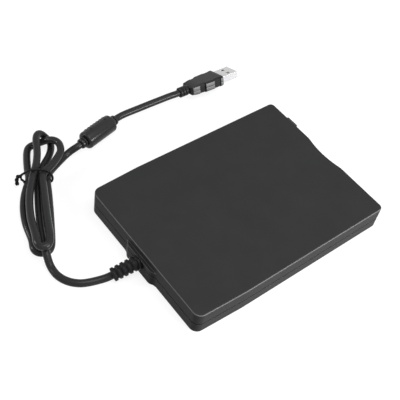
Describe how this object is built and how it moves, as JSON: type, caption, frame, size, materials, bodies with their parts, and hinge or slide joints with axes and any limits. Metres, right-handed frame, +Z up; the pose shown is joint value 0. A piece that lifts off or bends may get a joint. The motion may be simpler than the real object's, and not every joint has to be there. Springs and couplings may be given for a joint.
{
  "type": "external floppy disk drive",
  "caption": "Slim portable drive for 3.5 inch floppy disks: two-part case, sprung dust door, eject button, loading mechanism, captive cord with bundle, ferrite and flat plug.",
  "frame": {"origin": "bottom centre of the drive's feet, in the middle of its case's length and width", "axes": "+Z up, -Y out of the front with the disk slot and the button, +Y out of the back where the cord leaves, +X to the side of the eject button"},
  "size_m": [0.1676, 0.1964, 0.0175],
  "materials": {
    "case_top": "fine matte texture",
    "case_bottom": "fine matte texture",
    "case_front": "fine matte texture",
    "door_plastic": "satin",
    "button_plastic": "satin",
    "lamp_green": "clear tinted",
    "bright_steel": "ground",
    "spring_steel": "drawn wire and strip",
    "zinc_sheet": "zinc plated sheet",
    "stainless_sheet": "rolled sheet",
    "screw_steel": "zinc plated",
    "board_green": "solder mask",
    "copper_windings": "varnished wire",
    "bronze": "sintered",
    "carriage_plastic": "filled plastic",
    "ferrite_black": "fired ceramic",
    "motor_can": "drawn can",
    "chip_black": "moulded",
    "flex_film": "film",
    "foot_rubber": "soft",
    "relief_rubber": "soft moulded",
    "cord_black": "satin jacket",
    "tie_black": "coated wire",
    "ferrite_plastic": "soft moulded",
    "plug_plastic": "soft moulded",
    "plug_metal": "plated, satin",
    "tongue_plastic": "moulded",
    "gold_contact": "gold plated"
  },
  "bodies": {
    "case": {"top_cover": "case_top", "bottom_cover": "case_bottom", "front_bezel": "case_front", "door_pin": "bright_steel", "door_spring": "spring_steel", "activity_lamp": "lamp_green", "chassis": "zinc_sheet", "motor_board": "board_green", "stator": "copper_windings", "spindle_bearing": "bronze", "guide_rod": "bright_steel", "rod_clamps": "zinc_sheet", "clamp_screws": "screw_steel", "stepper_motor": "motor_can", "screw_bracket": "zinc_sheet", "main_board": "board_green", "main_board_parts": "chip_black", "interface_board": "board_green", "interface_parts": "chip_black", "flat_cable": "flex_film", "inner_lead": "cord_black", "chassis_screws": "screw_steel", "case_screws": "screw_steel", "rubber_feet": "foot_rubber", "strain_relief": "relief_rubber", "cord_from_case": "cord_black", "cord_hank": "cord_black", "twist_tie": "tie_black", "cord_to_ferrite": "cord_black", "ferrite_cover": "ferrite_plastic", "ferrite_core": "ferrite_black", "cord_to_plug": "cord_black", "plug_cover": "plug_plastic", "plug_shell": "plug_metal", "plug_tongue": "tongue_plastic", "plug_contacts": "gold_contact", "eject_springs": "spring_steel"},
    "door": {"dust_door": "door_plastic"},
    "eject_set": {"eject_button": "button_plastic", "slide_plate": "zinc_sheet"},
    "holder": {"disk_holder": "stainless_sheet", "holder_pins": "bright_steel", "lever_pivot": "bright_steel"},
    "lever": {"shutter_lever": "stainless_sheet"},
    "spindle": {"rotor_cup": "zinc_sheet", "hub_plate": "stainless_sheet", "spindle_shaft": "bright_steel", "drive_pin": "bright_steel"},
    "carriage": {"head_carriage": "carriage_plastic", "lower_head": "ferrite_black", "arm_pin": "bright_steel", "arm_spring": "spring_steel"},
    "head_arm": {"upper_arm": "carriage_plastic", "upper_head": "ferrite_black"},
    "screw": {"lead_screw": "bright_steel"}
  },
  "joints": [
    {"name": "door_hinge", "type": "hinge", "parent": "case", "child": "door", "pos_m": [0, -0.063, 0.0145], "axis": [1, 0, 0], "range_deg": [0, 85], "stiffness_Nm_per_rad": 0.0004, "springref_deg": -17.19},
    {"name": "eject_slide", "type": "slide", "parent": "case", "child": "eject_set", "axis": [0, 1, 0], "range_m": [0, 0.0046], "stiffness_N_per_m": 600, "springref_m": -0.002, "deforming": ["eject_springs"]},
    {"name": "holder_lift", "type": "slide", "parent": "case", "child": "holder", "axis": [0, 0, 1], "range_m": [0, 0.0023]},
    {"name": "lever_swing", "type": "hinge", "parent": "holder", "child": "lever", "pos_m": [-0.036, 0.0269, 0.0123], "axis": [0, 0, 1], "range_deg": [-35, 0]},
    {"name": "spindle_spin", "type": "hinge", "parent": "case", "child": "spindle", "pos_m": [0, -0.0141, 0.0079], "axis": [0, 0, 1], "continuous": true},
    {"name": "screw_turn", "type": "hinge", "parent": "case", "child": "screw", "pos_m": [0.016, 0.04, 0.0089], "axis": [0, 1, 0], "range_deg": [0, 1776]},
    {"name": "carriage_slide", "type": "slide", "parent": "case", "child": "carriage", "axis": [0, -1, 0], "range_m": [0, 0.0148]},
    {"name": "head_arm_lift", "type": "hinge", "parent": "carriage", "child": "head_arm", "pos_m": [0, 0.0505, 0.0124], "axis": [-1, 0, 0], "range_deg": [0, 4], "deforming": ["arm_spring"]}
  ],
  "couplings": [
    {"joint": "holder_lift", "follows": "eject_slide", "ratio": 0.5},
    {"joint": "lever_swing", "follows": "eject_slide", "rad_per_m": -132.8},
    {"joint": "head_arm_lift", "follows": "eject_slide", "rad_per_m": 15.177},
    {"joint": "screw_turn", "follows": "carriage_slide", "rad_per_m": 2094.4}
  ]
}
